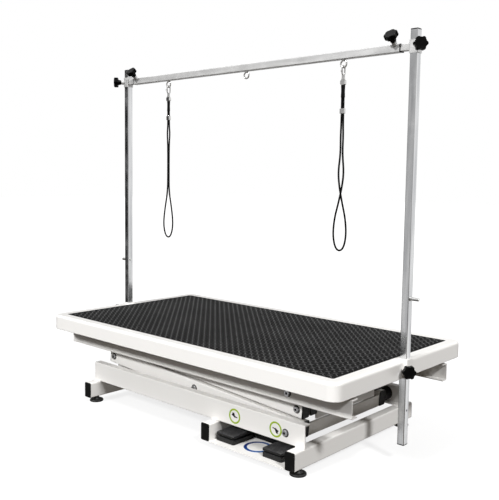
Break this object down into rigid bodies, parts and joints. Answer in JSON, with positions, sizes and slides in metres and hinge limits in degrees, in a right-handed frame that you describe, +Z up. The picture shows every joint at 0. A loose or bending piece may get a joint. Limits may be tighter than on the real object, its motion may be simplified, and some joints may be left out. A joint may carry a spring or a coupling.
{
  "type": "electric dog grooming table",
  "caption": "Low electric scissor-lift grooming table with ribbed black mat, white rim, foot pedals, and a chrome H-frame with crossbar, clamp knobs, eye rings and hanging loops.",
  "frame": {"origin": "on the floor under the middle of the table", "axes": "+X along the table, -Y towards the side with the foot pedals, +Z up"},
  "size_m": [1.2832, 0.652, 1.1587],
  "materials": {
    "white_frame": "gloss powder coat",
    "black_plug": "moulded",
    "chrome_tube": "bright plated",
    "bolt_steel": "zinc plated",
    "rim_white": "gloss moulding",
    "mat_rubber": "raised grain",
    "board_wood": "plywood",
    "knob_black": "satin moulding",
    "foot_rubber": "matt",
    "pedal_black": "ribbed moulding",
    "drive_black": "moulded",
    "drive_tube": "extruded",
    "roller_nylon": "turned nylon",
    "cord_black": "braided",
    "label_print": "printed film"
  },
  "bodies": {
    "base": {"base_beam_front": "white_frame", "base_beam_rear": "white_frame", "base_cross_members": "white_frame", "base_end_caps": "black_plug", "levelling_feet": "foot_rubber", "pedal_platform": "white_frame", "pedal_housings": "pedal_black", "label_rings": "label_print", "base_pivot_bolts": "bolt_steel", "pivot_spacers": "black_plug", "drive_tube": "drive_tube", "drive_motor": "drive_black", "drive_anchor_pin": "bolt_steel", "control_box": "drive_black"},
    "pedal_left_body": {"pedal_left": "pedal_black"},
    "pedal_right_body": {"pedal_right": "pedal_black"},
    "outer_arms_low": {"lower_outer_arms": "white_frame", "lower_outer_plugs": "black_plug", "lower_arm_bolts": "bolt_steel"},
    "inner_arms_low": {"lower_inner_arms": "white_frame", "lower_inner_plugs": "black_plug", "lower_roller_shaft": "bolt_steel"},
    "rollers_low": {"lower_rollers": "roller_nylon"},
    "rod": {"drive_rod": "chrome_tube"},
    "inner_arms_up": {"upper_inner_arms": "white_frame", "upper_inner_plugs": "black_plug"},
    "outer_arms_up": {"upper_outer_arms": "white_frame", "upper_outer_plugs": "black_plug", "upper_arm_bolts": "bolt_steel", "upper_roller_shaft": "bolt_steel"},
    "rollers_up": {"upper_rollers": "roller_nylon"},
    "table": {"table_rim": "rim_white", "table_board": "board_wood", "rubber_mat": "mat_rubber", "upper_rail_front": "white_frame", "upper_rail_rear": "white_frame", "under_cross_tubes": "white_frame", "upper_pivot_bolts": "bolt_steel", "table_clamps": "white_frame"},
    "post_right_body": {"post_right": "chrome_tube", "post_caps_right": "black_plug", "stop_pin_right": "chrome_tube"},
    "post_left_body": {"post_left": "chrome_tube", "post_caps_left": "black_plug", "stop_pin_left": "chrome_tube"},
    "bar": {"crossbar": "chrome_tube", "post_sleeves": "chrome_tube", "eye_rings": "chrome_tube"},
    "knob_table_left_body": {"knob_table_left": "knob_black"},
    "knob_table_right_body": {"knob_table_right": "knob_black"},
    "knob_post_left_body": {"knob_post_left": "knob_black"},
    "knob_post_right_body": {"knob_post_right": "knob_black"},
    "knob_bar_left_body": {"knob_bar_left": "knob_black"},
    "knob_bar_right_body": {"knob_bar_right": "knob_black"},
    "hook_left": {"snap_hook_left": "chrome_tube"},
    "loop_left": {"loop_metal_left": "chrome_tube", "loop_cord_left": "cord_black"},
    "hook_right": {"snap_hook_right": "chrome_tube"},
    "loop_right": {"loop_metal_right": "chrome_tube", "loop_cord_right": "cord_black"}
  },
  "joints": [
    {"name": "lift", "type": "hinge", "parent": "base", "child": "outer_arms_low", "pos_m": [0.39, 0, 0.097], "axis": [0, 1, 0], "range_deg": [0, 26.16]},
    {"name": "low_cross", "type": "hinge", "parent": "outer_arms_low", "child": "inner_arms_low", "pos_m": [-0.00911, 0, 0.12375], "axis": [0, 1, 0], "range_deg": [-52.33, 0]},
    {"name": "mid_joint", "type": "hinge", "parent": "outer_arms_low", "child": "inner_arms_up", "pos_m": [-0.40821, 0, 0.1505], "axis": [0, 1, 0], "range_deg": [-52.33, 0]},
    {"name": "up_cross", "type": "hinge", "parent": "inner_arms_up", "child": "outer_arms_up", "pos_m": [-0.00911, 0, 0.17725], "axis": [0, 1, 0], "range_deg": [0, 52.33]},
    {"name": "table_level", "type": "hinge", "parent": "inner_arms_up", "child": "table", "pos_m": [0.39, 0, 0.204], "axis": [0, 1, 0], "range_deg": [0, 26.17]},
    {"name": "rod_level", "type": "hinge", "parent": "inner_arms_low", "child": "rod", "pos_m": [-0.40821, 0, 0.097], "axis": [0, 1, 0], "range_deg": [0, 26.17]},
    {"name": "low_roller_spin", "type": "hinge", "parent": "inner_arms_low", "child": "rollers_low", "pos_m": [-0.40821, 0, 0.097], "axis": [0, 1, 0], "continuous": true},
    {"name": "up_roller_spin", "type": "hinge", "parent": "outer_arms_up", "child": "rollers_up", "pos_m": [-0.40821, 0, 0.204], "axis": [0, 1, 0], "continuous": true},
    {"name": "pedal_left_press", "type": "hinge", "parent": "base", "child": "pedal_left_body", "pos_m": [0.186, -0.196, 0.0415], "axis": [1, 0, 0], "range_deg": [0, 2.5], "stiffness_Nm_per_rad": 2, "springref_deg": -6.88},
    {"name": "pedal_right_press", "type": "hinge", "parent": "base", "child": "pedal_right_body", "pos_m": [0.36, -0.196, 0.0415], "axis": [1, 0, 0], "range_deg": [0, 2.5], "stiffness_Nm_per_rad": 2, "springref_deg": -6.88},
    {"name": "post_right_slide", "type": "slide", "parent": "table", "child": "post_right_body", "axis": [0, 0, 1], "range_m": [-0.045, 0.15]},
    {"name": "post_left_slide", "type": "slide", "parent": "table", "child": "post_left_body", "axis": [0, 0, 1], "range_m": [-0.045, 0.15]},
    {"name": "bar_slide", "type": "slide", "parent": "post_right_body", "child": "bar", "axis": [0, 0, 1], "range_m": [-0.25, 0.026]},
    {"name": "knob_table_left_turn", "type": "hinge", "parent": "table", "child": "knob_table_left_body", "pos_m": [-0.593, 0, 0.2625], "axis": [-0.7071, -0.7071, 0], "range_deg": [0, 360]},
    {"name": "knob_post_left_turn", "type": "hinge", "parent": "bar", "child": "knob_post_left_body", "pos_m": [-0.593, 0, 1.1115], "axis": [-0.7071, -0.7071, 0], "range_deg": [0, 360]},
    {"name": "knob_bar_left_turn", "type": "hinge", "parent": "bar", "child": "knob_bar_left_body", "pos_m": [-0.537, 0, 1.1115], "axis": [0, -0.7071, 0.7071], "range_deg": [0, 360]},
    {"name": "hook_left_swing", "type": "hinge", "parent": "bar", "child": "hook_left", "pos_m": [-0.369, 0, 1.07865], "axis": [1, 0, 0], "range_deg": [-70, 70]},
    {"name": "loop_left_swivel", "type": "hinge", "parent": "hook_left", "child": "loop_left", "pos_m": [-0.369, 0, 1.04], "axis": [0, 0, 1], "continuous": true},
    {"name": "knob_table_right_turn", "type": "hinge", "parent": "table", "child": "knob_table_right_body", "pos_m": [0.593, 0, 0.2625], "axis": [0.7071, -0.7071, 0], "range_deg": [0, 360]},
    {"name": "knob_post_right_turn", "type": "hinge", "parent": "bar", "child": "knob_post_right_body", "pos_m": [0.593, 0, 1.1115], "axis": [0.7071, -0.7071, 0], "range_deg": [0, 360]},
    {"name": "knob_bar_right_turn", "type": "hinge", "parent": "bar", "child": "knob_bar_right_body", "pos_m": [0.537, 0, 1.1115], "axis": [0, -0.7071, 0.7071], "range_deg": [0, 360]},
    {"name": "hook_right_swing", "type": "hinge", "parent": "bar", "child": "hook_right", "pos_m": [0.369, 0, 1.07865], "axis": [1, 0, 0], "range_deg": [-70, 70]},
    {"name": "loop_right_swivel", "type": "hinge", "parent": "hook_right", "child": "loop_right", "pos_m": [0.369, 0, 1.04], "axis": [0, 0, 1], "continuous": true}
  ],
  "couplings": [
    {"joint": "low_cross", "follows": "lift", "ratio": -2},
    {"joint": "mid_joint", "follows": "lift", "ratio": -2},
    {"joint": "up_cross", "follows": "lift", "ratio": 2},
    {"joint": "table_level", "follows": "lift", "ratio": 1},
    {"joint": "rod_level", "follows": "lift", "ratio": 1},
    {"joint": "post_left_slide", "follows": "post_right_slide", "ratio": 1}
  ]
}
